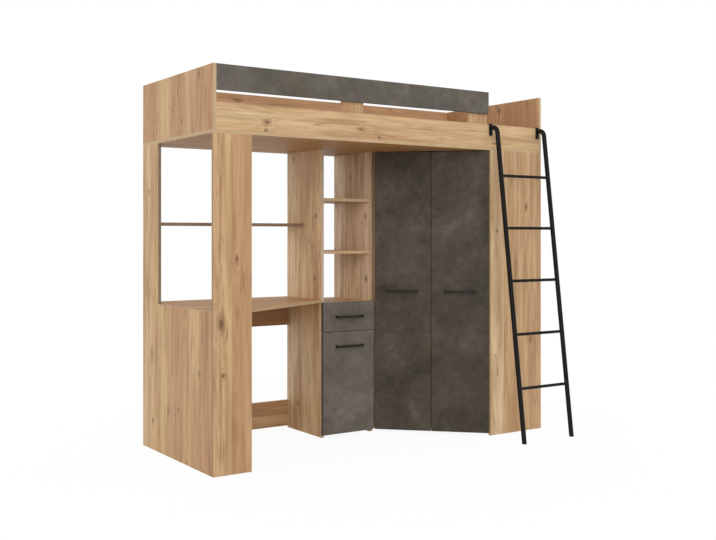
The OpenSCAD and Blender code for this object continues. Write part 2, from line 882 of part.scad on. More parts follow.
module safety_rail() {
    placed() color(concrete) difference() {
        board(in_l, safety_end, 0, board_t, bed_top - safety_h, bed_top);
        screw_holes(upright_screws, upright_screw_l);
        cam_holes(safety_joints);
    }
}

module rail_upright(x) {
    placed() color(oak) difference() {
        board(x, x + upright_w, board_t, board_t * 2, deck_top, bed_top);
        screw_holes(upright_screws, upright_screw_l);
    }
}

module rail_upright_left() {
    rail_upright(in_l + upright_x);
}

module rail_upright_right() {
    rail_upright(safety_end - upright_w);
}

// Fasteners
module cam_locks() {
    placed() color(steel) for (j = all_joints) cam(j);
}

module cam_bolts() {
    placed() color(steel) for (j = all_joints) bolt(j);
}

module board_screws() {
    placed() color(steel) {
        for (s = concat(post_tops, divider_tops, panel_feet)) board_screw(s);
        for (s = upright_screws) board_screw(s, upright_screw_l);
    }
}

module shelf_pins() {
    placed() color(steel) for (p = concat(cabinet_pins, wardrobe_pins)) pin(p);
}

// Drawer runners: a channel on each divider and a bar on each side of the drawer
module drawer_tracks() {
    placed() color(steel) for (m = [0, 1])
        translate([m == 0 ? bay_l : bay_r, runner_front, runner_z - runner_h / 2])
            mirror([m, 0, 0]) difference() {
                cube([track_depth, drawer_l - 8, runner_h]);
                translate([track_web, -1, track_web])
                    cube([track_depth, drawer_l, runner_h - track_web * 2]);
            }
}

module cabinet_hinge_arms() {
    placed() color(steel) for (z = cabinet_hinges) side_arm(z);
}

module wardrobe_hinge_arms() {
    placed() color(steel) on_slant() for (z = wardrobe_hinges) {
        corner_arm(0, 1, z);
        corner_arm(slant_l, -1, z);
    }
}

// Drawer
module drawer_front() {
    placed() color(concrete) translate([column_x, front_out, drawer_z0])
        front_panel(column_w, drawer_front_h, [], screw_pair(column_w / 2, drawer_front_h / 2));
}

module drawer_sides() {
    placed() color(board_brown) for (m = [0, 1])
        translate([m == 0 ? drawer_in_l : drawer_in_r, front_in, drawer_side_z]) mirror([m, 0, 0])
            difference() {
                cube([drawer_side_t, drawer_l, drawer_side_h]);
                translate([drawer_side_t - groove_d, -1, drawer_bottom_z - drawer_side_z])
                    cube([drawer_side_t, drawer_l + 2, back_t]);
            }
}

module drawer_back() {
    placed() color(board_brown) board(drawer_in_l + drawer_side_t, drawer_in_r - drawer_side_t,
        front_in + drawer_l - drawer_side_t, front_in + drawer_l,
        drawer_bottom_z + back_t, drawer_side_z + drawer_side_h);
}

module drawer_bottom() {
    edge = drawer_side_t - groove_d + fit;
    placed() color(board_brown) board(drawer_in_l + edge, drawer_in_r - edge,
        front_in, front_in + drawer_l, drawer_bottom_z, drawer_bottom_z + back_t);
}

module drawer_handle() {
    placed() color(black) translate([front_mid, front_out, drawer_handle_z]) bow_handle();
}

module drawer_fittings() {
    bar_h = runner_h - track_web * 2 - move_gap * 2;
    bar_x = track_web + move_gap;
    placed() color(steel) {
        for (m = [0, 1])
            translate([m == 0 ? bay_l : bay_r, runner_front, runner_z - bar_h / 2])
                mirror([m, 0, 0]) translate([bar_x, 0, 0])
                    cube([runner_gap - bar_x, drawer_l - 8, bar_h]);
        translate([column_x, front_out, 0]) handle_screws(column_w / 2, drawer_handle_z);
    }
}

// Cabinet door, hinged on the column's left divider
module cabinet_door() {
    placed() color(concrete) translate([column_x, front_out, door_low])
        front_panel(column_w, cabinet_door_h,
            [for (z = cabinet_hinges) [cup_in, z - door_low]],
            screw_pair(column_w / 2, door_handle_z - door_low));
}

module cabinet_door_handle() {
    placed() color(black) translate([front_mid, front_out, door_handle_z]) bow_handle();
}

module cabinet_door_fittings() {
    placed() color(steel) translate([column_x, front_out, 0]) {
        for (z = cabinet_hinges) hinge_cup(cup_in, z);
        handle_screws(column_w / 2, door_handle_z);
    }
}

// Wardrobe doors, hinged at the two outer ends of the slanted line
module wardrobe_door(u0, cup_x) {
    placed() color(dark) on_slant() translate([u0, 0, door_low])
        front_panel(wardrobe_door_w, wardrobe_door_h,
            [for (z = wardrobe_hinges) [cup_x, z - door_low]],
            screw_pair(wardrobe_door_w / 2, wardrobe_handle_z - door_low));
}

module wardrobe_handle(u0) {
    placed() color(black) on_slant()
        translate([u0 + wardrobe_door_w / 2, 0, wardrobe_handle_z]) bow_handle();
}

module wardrobe_fittings(u0, cup_x) {
    placed() color(steel) on_slant() translate([u0, 0, 0]) {
        for (z = wardrobe_hinges) hinge_cup(cup_x, z);
        handle_screws(wardrobe_door_w / 2, wardrobe_handle_z);
    }
}

module wardrobe_door_left() {
    wardrobe_door(0, corner_cup_in);
}

module wardrobe_handle_left() {
    wardrobe_handle(0);
}

module wardrobe_fittings_left() {
    wardrobe_fittings(0, corner_cup_in);
}

right_u0 = slant_l - wardrobe_door_w;

module wardrobe_door_right() {
    wardrobe_door(right_u0, wardrobe_door_w - corner_cup_in);
}

module wardrobe_handle_right() {
    wardrobe_handle(right_u0);
}

module wardrobe_fittings_right() {
    wardrobe_fittings(right_u0, wardrobe_door_w - corner_cup_in);
}

// Ladder
module ladder_stile_left() {
    placed() color(black) stile(stile_x[0]);
}

module ladder_stile_right() {
    placed() color(black) stile(stile_x[1]);
}

module ladder_rungs() {
    placed() color(black) for (i = [0 : rung_count - 1]) {
        z = rung_first + i * rung_pitch;
        difference() {
            translate([stile_x[0], stile_at(z), z]) rotate([0, 90, 0])
                cylinder(d = rung_dia, h = ladder_w);
            for (x = stile_x)
                translate([x, stile_at(z), z]) rotate([-ladder_lean, 0, 0])
                    translate([0, 0, -rung_dia * 2])
                        cylinder(d = stile_dia + fit * 2, h = rung_dia * 4);
        }
    }
}

module ladder_hooks() {
    placed() color(black) for (x = stile_x) {
        board(x - hook_w / 2, x + hook_w / 2, hook_face, -move_gap,
            rail_top + move_gap - hook_front_l, rail_top + move_gap + hook_t);
        board(x - hook_w / 2, x + hook_w / 2, -move_gap, board_t + move_gap,
            rail_top + move_gap, rail_top + move_gap + hook_t);
        board(x - hook_w / 2, x + hook_w / 2, board_t + move_gap, board_t + move_gap + hook_t,
            rail_top + move_gap - hook_back_l, rail_top + move_gap + hook_t);
    }
}

module ladder_feet() {
    plug_l = 25;
    below = stile_dia;
    placed() color(black) for (x = stile_x) intersection() {
        translate([x, foot_y, 0]) rotate([-ladder_lean, 0, 0]) {
            translate([0, 0, -below]) cylinder(d = stile_dia, h = below + foot_h);
            cylinder(r = stile_dia / 2 - stile_wall - fit, h = foot_h + plug_l);
        }
        translate([x - stile_dia, foot_y - stile_dia * 2, 0])
            cube([stile_dia * 2, stile_dia * 4, foot_h + plug_l]);
    }
}

left_front_post();
left_rear_post();
left_side_panel();
divider_left();
divider_right();
front_right_panel();
right_side_panel();
hinge_stile_left();
hinge_stile_right();
desk_top();
desk_back_brace();
floor_brace();
desk_shelf();
cabinet_top();
cabinet_bottom();
cabinet_shelf();
column_shelf_lower();
column_shelf_upper();
cabinet_back();
wardrobe_back();
wardrobe_bottom();
wardrobe_shelf();
hanging_rail();
hanging_rail_sockets();
deck_front();
deck_rear();
end_panel_left();
end_panel_right();
bed_back_panel();
front_rail();
safety_rail();
rail_upright_left();
rail_upright_right();
cam_locks();
cam_bolts();
board_screws();
shelf_pins();
drawer_tracks();
cabinet_hinge_arms();
wardrobe_hinge_arms();
drawer_front();
drawer_sides();
drawer_back();
drawer_bottom();
drawer_handle();
drawer_fittings();
cabinet_door();
cabinet_door_handle();
cabinet_door_fittings();
wardrobe_door_left();
wardrobe_handle_left();
wardrobe_fittings_left();
wardrobe_door_right();
wardrobe_handle_right();
wardrobe_fittings_right();
ladder_stile_left();
ladder_stile_right();
ladder_rungs();
ladder_hooks();
ladder_feet();
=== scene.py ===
import math

import bpy
import numpy as np
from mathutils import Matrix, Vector


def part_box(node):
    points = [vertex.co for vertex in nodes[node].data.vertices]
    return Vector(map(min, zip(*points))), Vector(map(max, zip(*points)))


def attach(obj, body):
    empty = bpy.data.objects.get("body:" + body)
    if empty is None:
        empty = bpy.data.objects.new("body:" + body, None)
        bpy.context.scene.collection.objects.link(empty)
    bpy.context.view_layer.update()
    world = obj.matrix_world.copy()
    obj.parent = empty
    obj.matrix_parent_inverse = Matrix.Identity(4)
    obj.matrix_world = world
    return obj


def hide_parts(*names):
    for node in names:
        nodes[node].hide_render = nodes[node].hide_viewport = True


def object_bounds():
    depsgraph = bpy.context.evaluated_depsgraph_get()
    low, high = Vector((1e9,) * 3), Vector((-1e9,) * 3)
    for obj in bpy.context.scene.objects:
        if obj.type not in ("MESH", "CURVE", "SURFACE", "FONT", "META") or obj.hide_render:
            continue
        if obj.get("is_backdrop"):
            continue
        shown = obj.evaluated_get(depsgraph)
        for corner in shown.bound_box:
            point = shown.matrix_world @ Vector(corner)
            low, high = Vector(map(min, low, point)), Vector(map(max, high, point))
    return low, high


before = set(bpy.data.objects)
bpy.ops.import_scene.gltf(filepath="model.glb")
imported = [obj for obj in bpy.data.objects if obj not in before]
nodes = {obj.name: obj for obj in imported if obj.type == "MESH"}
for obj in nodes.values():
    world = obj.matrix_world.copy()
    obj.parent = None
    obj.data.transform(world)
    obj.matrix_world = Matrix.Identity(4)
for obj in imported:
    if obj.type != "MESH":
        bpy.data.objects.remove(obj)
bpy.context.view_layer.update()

# The plan that the sizes below are given in: millimetres to the right of the left end panel's
# outer face, behind the front rail's face and above the floor.
PLAN_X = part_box("end_panel_left")[0].x
PLAN_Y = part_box("front_rail")[0].y

# The photograph's camera: level, 49.4 mm lens on a 36 mm film, turned 34 degrees to the right
# of the bed's own depth. The horizon lies above the picture's middle, hence the small shift.
PHOTO_WIDTH = 716
FILM_WIDTH = 36.0
FOCAL_PIXELS = 981.93
HORIZON_RISE = 34.92
CAMERA_PLACE = (-2.9526, -4.3044, 1.0918)
CAMERA_TURN = 34.056

# The wardrobe doors stand at 45 degrees: the way out of their faces, and their line's start
DOOR_FACE = (math.sqrt(0.5), math.sqrt(0.5), 0.0)
DOOR_START = (1200.0, 444.0)
DOOR_WIDTH = 312.45
DOOR_GAP = 3.0


def in_plan(points):
    """Plan millimetres to the frame's metres."""
    return np.asarray(points, dtype=float) / 1000.0 + (PLAN_X, PLAN_Y, 0.0)


# Colours and nodes


def linear(code):
    """An sRGB hex colour as linear red, green, blue and a full alpha."""
    c = np.array([int(code[i : i + 2], 16) for i in (1, 3, 5)]) / 255.0
    c = np.where(c <= 0.04045, c / 12.92, ((c + 0.055) / 1.055) ** 2.4)
    return (*c.tolist(), 1.0)


def add(tree, kind, inputs=None, **settings):
    """Adds one node and returns it. inputs maps a socket's name or number to a value, to the
    socket that feeds it, or to a node, whose first output in use then feeds it. A hex colour
    turns linear. settings are the node's own properties, and stops are a ramp's places,
    colours and, if given, alphas."""
    node = tree.nodes.new("ShaderNode" + kind)
    stops = settings.pop("stops", ())
    for name, value in settings.items():
        setattr(node, name, value)
    while stops and len(node.color_ramp.elements) < len(stops):
        node.color_ramp.elements.new(1.0)
    for number, (place, colour, *alpha) in enumerate(stops):
        element = node.color_ramp.elements[number]
        element.position = place
        element.color = (*linear(colour)[:3], alpha[0] if alpha else 1.0)
    for name, value in (inputs or {}).items():
        if isinstance(value, bpy.types.Node):
            value = [socket for socket in value.outputs if socket.enabled][0]
        if isinstance(value, bpy.types.NodeSocket):
            tree.links.new(value, node.inputs[name])
        else:
            node.inputs[name].default_value = linear(value) if isinstance(value, str) else value
    return node


def new_material(name, shader):
    """An empty material with a Principled shader on its output; shader holds plain values."""
    material = bpy.data.materials.new(name)
    material.use_nodes = True
    tree = material.node_tree
    tree.nodes.clear()
    surface = add(tree, "BsdfPrincipled", shader)
    add(tree, "OutputMaterial", {"Surface": surface})
    return material, tree, surface


def wear(tree, surface, colour, height, depth, strength):
    """Puts a colour on a shader, and a bump of depth metres from a height of 0 to 1."""
    bump = add(tree, "Bump", {"Strength": strength, "Distance": depth, "Height": height})
    tree.links.new(colour, surface.inputs["Base Color"])
    tree.links.new(bump.outputs["Normal"], surface.inputs["Normal"])


def narrow_edges(tree, place, face):
    """1 on a board's narrow edges and 0 on its two wide faces, whose way out is face: there
    the size of the normal's share along face is nearly 1."""
    share = add(tree, "VectorMath", {0: place.outputs["Normal"], 1: face}, operation="DOT_PRODUCT")
    size = add(tree, "Math", {0: share}, operation="ABSOLUTE")
    return add(tree, "Math", {0: size, 1: 0.7}, operation="LESS_THAN")


# A map range that starts and ends softly, and the two sockets of a colour mix
SOFT = {"interpolation_type": "SMOOTHSTEP"}
MIX = {"data_type": "RGBA"}
FIRST, SECOND = 6, 7


# Oak decor


STRAW = "#e0c297"
HONEY = "#dab887"
TAN = "#d6b084"
ROSE = "#d3ab84"
BROWN = "#c99f76"
UMBER = "#be936a"
RUDDY = "#b38760"
TONES = (STRAW, HONEY, TAN, ROSE, BROWN, UMBER)
GRAIN_DARK = "#7a5231"
VEIN_DARK = "#5f4029"
KNOT_BARK = "#85603e"
KNOT_HEART = "#553b29"
EDGING = "#cbae88"
EDGING_DARK = "#bc9d76"

# The edging strips that differ in the photograph from the others, each with its dark figure.
# These tones carry painted shade: the darker strips of the right divider, the desk shelf and the
# two posts stand for the shadow that falls on those edges.
EDGINGS = {
    "divider_left": ("#c9b79c", "#baa588"),
    "divider_right": ("#b99c7c", "#aa8c6c"),
    "desk_shelf": ("#957d68", "#836c59"),
    "left_front_post": ("#ab8c69", "#997a5a"),
    "left_rear_post": ("#94806b", "#826e5a"),
}

# What the photograph shows on each board: the staves that the print is made of,
# each from where it starts across the board, and the knots and splits, as their place across
# and along the board and half their size each way. All are millimetres from the board's low
# corner. The tones here and above were moved until the render's mean colours came close to
# the photograph's, so some of them hold a share of its light and shadow too.
STAVES = {
    "end_panel_left": (
        (0, BROWN), (142, ROSE), (215, TAN), (329, BROWN),
        (440, ROSE), (488, HONEY), (635, BROWN),
    ),
    "left_side_panel": ((0, BROWN), (134, HONEY), (314, BROWN), (420, ROSE), (481, HONEY)),
    "left_front_post": ((0, TAN), (44, HONEY), (92, BROWN), (171, TAN)),
    "left_rear_post": ((0, HONEY), (95, STRAW), (160, HONEY)),
    "front_rail": ((0, "#dcb98b"), (46, "#e3c498"), (88, "#dcb98b")),
    # The dividers take pale tones: painted light that lifts them against the shade inside the desk
    # and shelf bays.
    "divider_left": (
        (0, "#e8c798"), (150, "#e6cba0"), (205, "#e0c090"),
        (245, "#eed2aa"), (330, "#e6cba0"),
    ),
    # Pale tones here too: painted light against the shade inside the bays.
    "divider_right": ((0, "#ecd0ac"), (110, "#e4c79e"), (200, "#e8cca4"), (262, "#f4dcbc")),
    # The first stave's pale tone is painted light, lifting the strip beside the wardrobe door
    # against its shade.
    "front_right_panel": (
        (0, "#eccfa4"), (96, "#d9b587"), (150, "#d6b186"),
        (205, "#dbb689"), (290, "#d5af85"),
    ),
    # These darker tones are painted shade, taken from the panel's inner face, which lies in shadow.
    "end_panel_right": (
        (0, BROWN), (130, UMBER), (290, BROWN),
        (420, UMBER), (560, "#b58a63"), (700, "#ab8059"),
    ),
    "bed_back_panel": ((0, TAN), (80, HONEY), (150, BROWN), (215, ROSE), (262, BROWN)),
    # The deck boards take darker, deep orange tones: painted shade and painted warm bounce light
    # from the deck's underside.
    "deck_front": ((0, "#bf8e55"), (95, "#b98850"), (190, "#b3824b"), (290, "#bf8e55")),
    "deck_rear": ((0, "#b98850"), (120, "#bf8e55"), (250, "#b3824b"), (350, "#b98850")),
    # Deeper orange than the oak elsewhere: painted warm bounce light.
    "desk_top": ((0, "#dfb072"), (120, "#d3a265"), (260, "#dfb072"), (400, "#d0a064")),
    # Darker tones: painted shade under the desk.
    "desk_back_brace": ((0, "#aa8058"), (80, "#a27852")),
    "floor_brace": ((0, "#dbb387"), (70, "#d5aa7d")),
    # Dark brown tones: painted shade for the shadowed gap between the right divider and the left
    # wardrobe door, where this stile shows.
    "hinge_stile_left": ((0, "#8c6e50"), (60, "#86694c")),
    "rail_upright_left": ((0, BROWN), (50, TAN)),
    "rail_upright_right": ((0, TAN), (60, BROWN)),
}
KNOTS = {
    "end_panel_left": ((150, 268, 6, 14), (345, 70, 4, 10)),
    "left_side_panel": ((133, 449, 7, 8), (370, 250, 4, 9)),
    "left_front_post": ((50, 454, 8, 8), (40, 690, 12, 26), (120, 980, 5, 12)),
    "left_rear_post": ((68, 150, 7, 9), (81, 485, 6, 22), (120, 1310, 4, 10)),
    "front_rail": (
        (8, 254, 5, 6), (46, 258, 9, 12), (46, 789, 5, 16),
        (12, 900, 5, 6), (22, 1690, 5, 20),
    ),
    "divider_left": ((55, 1195, 7, 10), (70, 859, 7, 10), (291, 1520, 6, 10), (246, 153, 7, 10)),
    "divider_right": ((35, 846, 8, 11), (40, 1198, 6, 10), (190, 1420, 5, 10)),
    "front_right_panel": ((48, 1115, 4, 7), (265, 1250, 6, 16), (300, 510, 5, 12)),
    "end_panel_right": ((330, 262, 7, 12), (640, 120, 5, 10)),
    "bed_back_panel": ((262, 520, 6, 18), (252, 1240, 6, 16)),
}
SPLITS = {
    "left_front_post": ((50, 120, 1.8, 75), (26, 235, 1.4, 40), (48, 1440, 1.5, 110)),
    "left_side_panel": ((430, 330, 1.4, 100), (250, 120, 1.2, 60)),
    "front_rail": ((38, 830, 1.4, 90), (70, 1180, 1.2, 70), (92, 420, 1.2, 60)),
    "divider_left": ((270, 930, 1.6, 70), (110, 700, 1.3, 50)),
    "divider_right": ((150, 560, 1.5, 60), (60, 1380, 1.3, 50)),
    "front_right_panel": ((240, 860, 1.4, 70), (120, 300, 1.3, 50)),
}

# On the other boards chance draws the staves and knots, and two splits stand at fixed places.
# These are a stave's least and greatest width, how narrow the last one may get, the least and
# greatest of a knot's place as shares of the board, of half its width and of its length over
# its width, the area in square millimetres for each knot beyond the first, and the most knots.
STAVE_WIDTHS = (60.0, 150.0)
LAST_STAVE = 20.0
KNOT_LEAST = (0.15, 0.05, 3.5, 1.4)
KNOT_MOST = (0.85, 0.95, 7.0, 2.0)
KNOT_AREA = 3e5
MOST_KNOTS = 5


def nearest_mark(tree, flat, places):
    """How far a point lies from the nearest of some oval marks: 1 on a mark's rim and 0 in its
    middle, as the least of the lengths of (point - middle) / half size."""
    nearest = None
    for across, along, half_width, half_length in places:
        scale = (1.0 / half_width, 0.0, 1.0 / half_length)
        middle = (-across / half_width, 0.0, -along / half_length)
        away = add(tree, "Mapping", {"Vector": flat, "Scale": scale, "Location": middle})
        away = add(tree, "VectorMath", {0: away}, operation="LENGTH")
        nearest = add(tree, "Math", {0: nearest, 1: away}, operation="MINIMUM") if nearest else away
    return nearest


def oak_decor(node, grain, face, number):
    """Craft oak print on a resin-bonded paper over chipboard: staves of slightly different
    tones side by side, each with growth bands that run round the knots, brown streaks, fine
    fibres, thin dark veins and a few splits. To the eye it is as matt as planed wood with a
    weak sheen, and the board's narrow edges carry a plain pale plastic strip."""
    material, tree, surface = new_material(
        "craft oak print on " + node, {"Roughness": 0.56, "Specular IOR Level": 0.3}
    )
    luck = np.random.default_rng(40 + number)
    low, high = (np.array(corner) * 1000.0 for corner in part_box(node))
    along = "xyz".index(grain)
    across = 3 - along - int(np.argmax(np.abs(face)))
    width = float(high[across] - low[across])
    length = float(high[along] - low[along])

    starts = np.cumsum(luck.uniform(*STAVE_WIDTHS, 12))
    starts = (0.0, *starts[starts < width - LAST_STAVE])
    drawn = [(start, TONES[luck.integers(0, len(TONES))]) for start in starts]
    count = min(MOST_KNOTS, 1 + int(width * length / KNOT_AREA))
    chance = luck.uniform(KNOT_LEAST, KNOT_MOST, (count, 4))
    chosen = [(x * width, z * length, size, size * tall) for x, z, size, tall in chance.tolist()]
    plain = [(width * 0.4, length * 0.3, 1.3, 60.0), (width * 0.7, length * 0.8, 1.2, 45.0)]
    staves = STAVES.get(node, drawn)
    knots = KNOTS.get(node, chosen)
    splits = SPLITS.get(node, plain)

    # millimetres across and along the board from its low corner
    place = add(tree, "TexCoord")
    board = {"Vector": place.outputs["Object"], "Location": tuple(-low), "Scale": (1000.0,) * 3}
    parts = add(tree, "SeparateXYZ", {0: add(tree, "Mapping", board)}).outputs
    flat = add(tree, "CombineXYZ", {0: parts[across], 2: parts[along]})

    # the stave's tone, and in the ramp's alpha the depth of the tree that its slice is from
    portion = add(tree, "Math", {0: parts[across], 1: width}, operation="DIVIDE", use_clamp=True)
    stops = [(float(start) / width, tone, float(luck.uniform())) for start, tone in staves]
    stave = add(tree, "ValToRGB", {"Fac": portion}, stops=stops)
    stave.color_ramp.interpolation = "CONSTANT"
    depth = {0: stave.outputs["Alpha"], 1: 900.0, 2: 310.0 * number}
    depth = add(tree, "Math", depth, operation="MULTIPLY_ADD")
    wood = add(tree, "CombineXYZ", {0: parts[across], 1: depth, 2: parts[along]})

    def figure(wide, long, detail, roughness=0.55, twist=0.0):
        """A noise whose features are about wide by long millimetres."""
        scale = (1.0 / wide, 0.3 / wide, 1.0 / long)
        drawn_out = add(tree, "Mapping", {"Vector": wood, "Scale": scale})
        kind = {"Vector": drawn_out, "Scale": 1.0, "Detail": detail}
        return add(tree, "TexNoise", {**kind, "Roughness": roughness, "Distortion": twist})

    # knots: an oval with an uneven rim, which also pushes the growth bands aside
    wobble = figure(11.0, 22.0, 2.0)
    knot = nearest_mark(tree, flat, knots)
    knot = add(tree, "Math", {0: knot, 1: 0.9}, operation="SUBTRACT")
    knot = add(tree, "Math", {0: wobble, 1: 1.8, 2: knot}, operation="MULTIPLY_ADD")
    pull = add(tree, "MapRange", {0: knot, 1: 0.5, 2: 7.0, 3: 0.08, 4: 0.0}, **SOFT)

    # growth bands some 8 to 25 mm apart: a long drawn noise, folded to and fro
    age = add(tree, "Math", {0: figure(120.0, 1500.0, 2.0, 0.4, 0.25), 1: pull}, operation="ADD")
    ring = add(tree, "Math", {0: age, 1: 17.0}, operation="MULTIPLY")
    ring = add(tree, "Math", {0: ring, 1: 0.5}, operation="PINGPONG")
    ring = add(tree, "MapRange", {0: ring, 1: 0.1, 2: 0.5, 3: 0.0, 4: 0.12}, **SOFT)

    # broad ruddy zones in the tone, and over them smudges, brown flares, streaks and fibres;
    # the real fibres are under a millimetre wide, and are drawn 2.5 mm wide so that they show
    ruddy = figure(52.0, 620.0, 3.0, 0.5, 0.35)
    ruddy = add(tree, "MapRange", {0: ruddy, 1: 0.4, 2: 0.68, 3: 0.0, 4: 0.62}, **SOFT)
    tone = add(tree, "Mix", {0: ruddy, FIRST: stave, SECOND: RUDDY}, **MIX)
    smudge = figure(28.0, 330.0, 2.0, 0.5, 0.4)
    smudge = add(tree, "MapRange", {0: smudge, 1: 0.42, 2: 0.72, 3: 0.0, 4: 0.18}, **SOFT)
    flare = figure(19.0, 250.0, 3.0, 0.5, 0.9)
    flare = add(tree, "MapRange", {0: flare, 1: 0.58, 2: 0.78, 3: 0.0, 4: 0.44}, **SOFT)
    streak = figure(9.0, 700.0, 3.0, 0.55, 0.1)
    streak = add(tree, "MapRange", {0: streak, 1: 0.38, 2: 0.72, 3: 0.0, 4: 0.25})
    fibre = figure(2.5, 90.0, 3.0, 0.6)
    fine = add(tree, "MapRange", {0: fibre, 1: 0.3, 2: 0.7, 3: -0.09, 4: 0.1})
    dark = add(tree, "Math", {0: ring, 1: smudge}, operation="ADD")
    dark = add(tree, "Math", {0: dark, 1: flare}, operation="ADD")
    dark = add(tree, "Math", {0: dark, 1: streak}, operation="ADD")
    dark = add(tree, "Math", {0: dark, 1: fine}, operation="ADD", use_clamp=True)
    colour = add(tree, "Mix", {0: dark, FIRST: tone, SECOND: GRAIN_DARK}, **MIX)

    # veins: thin lines where a wavy noise passes a half, only where another one is high
    vein = add(tree, "Math", {0: figure(45.0, 620.0, 2.0, 0.5, 0.2), 1: 0.5}, operation="SUBTRACT")
    vein = add(tree, "Math", {0: vein}, operation="ABSOLUTE")
    vein = add(tree, "MapRange", {0: vein, 1: 0.002, 2: 0.011, 3: 0.75, 4: 0.0}, **SOFT)
    where = figure(70.0, 240.0, 2.0)
    where = add(tree, "MapRange", {0: where, 1: 0.52, 2: 0.64, 3: 0.0, 4: 1.0}, **SOFT)
    vein = add(tree, "Math", {0: vein, 1: where}, operation="MULTIPLY")
    colour = add(tree, "Mix", {0: vein, FIRST: colour, SECOND: VEIN_DARK}, **MIX)

    bark = add(tree, "MapRange", {0: knot, 1: 0.8, 2: 3.0, 3: 0.55, 4: 0.0}, **SOFT)
    colour = add(tree, "Mix", {0: bark, FIRST: colour, SECOND: KNOT_BARK}, **MIX)
    heart = add(tree, "MapRange", {0: knot, 1: 0.4, 2: 1.1, 3: 0.68, 4: 0.0}, **SOFT)
    colour = add(tree, "Mix", {0: heart, FIRST: colour, SECOND: KNOT_HEART}, **MIX)
    split = add(tree, "Math", {0: nearest_mark(tree, flat, splits), 1: 0.7}, operation="SUBTRACT")
    split = add(tree, "Math", {0: wobble, 1: 1.4, 2: split}, operation="MULTIPLY_ADD")
    split = add(tree, "MapRange", {0: split, 1: 0.6, 2: 1.3, 3: 0.6, 4: 0.0}, **SOFT)
    colour = add(tree, "Mix", {0: split, FIRST: colour, SECOND: KNOT_HEART}, **MIX)

    light_strip, dark_strip = EDGINGS.get(node, (EDGING, EDGING_DARK))
    strip = add(tree, "ValToRGB", {"Fac": fibre}, stops=[(0.3, light_strip), (0.7, dark_strip)])
    edge = narrow_edges(tree, place, face)
    colour = add(tree, "Mix", {0: edge, FIRST: colour, SECOND: strip}, **MIX)
    relief = add(tree, "Math", {0: dark, 1: split}, operation="ADD")
    relief = add(tree, "Math", {0: 1.0, 1: relief}, operation="SUBTRACT")
    wear(tree, surface, colour.outputs[2], relief, 0.0004, 0.25)
    return material


def concrete_decor(node, face, stops, rust, edge, number):
    """Concrete print on a resin-bonded paper: clouds of some 250 mm, trowelled patches of
    50 mm and fine specks, with a faint rusty tint in places. To the eye it is stone without
    gloss, and its narrow edges carry a plain dark strip."""
    material, tree, surface = new_material(
        "concrete print on " + node, {"Roughness": 0.62, "Specular IOR Level": 0.22}
    )
    place = add(tree, "TexCoord")
    shift = (2.3 * number, 1.1 * number, 3.1 * number)
    where = add(tree, "Mapping", {"Vector": place.outputs["Object"], "Location": shift})

    def figure(size, detail, roughness, twist=0.0):
        """A noise whose features are about size millimetres."""
        kind = {"Vector": where, "Scale": 1000.0 / size, "Detail": detail}
        return add(tree, "TexNoise", {**kind, "Roughness": roughness, "Distortion": twist})

    specks = figure(4.0, 2.0, 0.6)
    tone = {0: figure(45.0, 5.0, 0.7, 0.4), 1: 0.7, 2: figure(270.0, 4.0, 0.5, 0.5)}
    tone = add(tree, "Math", tone, operation="MULTIPLY_ADD")
    tone = add(tree, "Math", {0: specks, 1: 0.25, 2: tone}, operation="MULTIPLY_ADD")
    tone = add(tree, "MapRange", {0: tone, 1: 0.7, 2: 1.26})
    colour = add(tree, "ValToRGB", {"Fac": tone}, stops=stops)
    tint = figure(160.0, 3.0, 0.6, 0.4)
    tint = add(tree, "MapRange", {0: tint, 1: 0.48, 2: 0.72, 3: 0.0, 4: 0.45}, **SOFT)
    colour = add(tree, "Mix", {0: tint, FIRST: colour, SECOND: rust}, **MIX)
    rim = narrow_edges(tree, place, face)
    colour = add(tree, "Mix", {0: rim, FIRST: colour, SECOND: edge}, **MIX)
    wear(tree, surface, colour.outputs[2], specks, 0.0003, 0.15)
    return material


def cloudy_coat(name, low, high, shader, grain, cloud, depth):
    """A coat or board of one colour that wanders from low to high over some cloud metres, with
    a fine bump of grain metres. It serves powder coat, whose orange peel is about 1.5 mm and
    blurs its small highlights, moulded plastic, and pressed wood fibre, which is quite dull."""
    material, tree, surface = new_material(name, shader)
    place = add(tree, "TexCoord").outputs["Object"]
    noise = {"Vector": place, "Roughness": 0.6}
    peel = add(tree, "TexNoise", {**noise, "Scale": 1.0 / grain, "Detail": 3.0})
    drift = add(tree, "TexNoise", {**noise, "Scale": 1.0 / cloud, "Detail": 4.0})
    tone = add(tree, "Math", {0: peel, 1: 0.6, 2: drift}, operation="MULTIPLY_ADD")
    colour = add(tree, "ValToRGB", {"Fac": tone}, stops=[(0.6, low), (0.98, high)])
    wear(tree, surface, colour.outputs[0], peel, depth, 0.3)
    return material


def zinc_plate(name, low, high):
    """Zinc or nickel on pressed or cast metal: a cool bright metal, with faint rolling lines
    of about 1.5 by 15 mm and a shine that changes in clouds of some 15 mm."""
    material, tree, surface = new_material(name, {"Metallic": 1.0})
    place = add(tree, "TexCoord").outputs["Object"]
    lines = add(tree, "Mapping", {"Vector": place, "Scale": (700.0, 700.0, 60.0)})
    rolled = add(tree, "TexNoise", {"Vector": lines, "Scale": 1.0, "Detail": 2.0})
    cloudy = add(tree, "TexNoise", {"Vector": place, "Scale": 60.0, "Detail": 3.0})
    shine = add(tree, "MapRange", {0: cloudy, 1: 0.3, 2: 0.7, 3: 0.26, 4: 0.44})
    tree.links.new(shine.outputs[0], surface.inputs["Roughness"])
    colour = add(tree, "ValToRGB", {"Fac": rolled}, stops=[(0.3, low), (0.7, high)])
    wear(tree, surface, colour.outputs[0], rolled, 0.00005, 0.2)
    return material


# Mesh code: a skin is its points in an array, and a list of face arrays, one for each
# number of corners


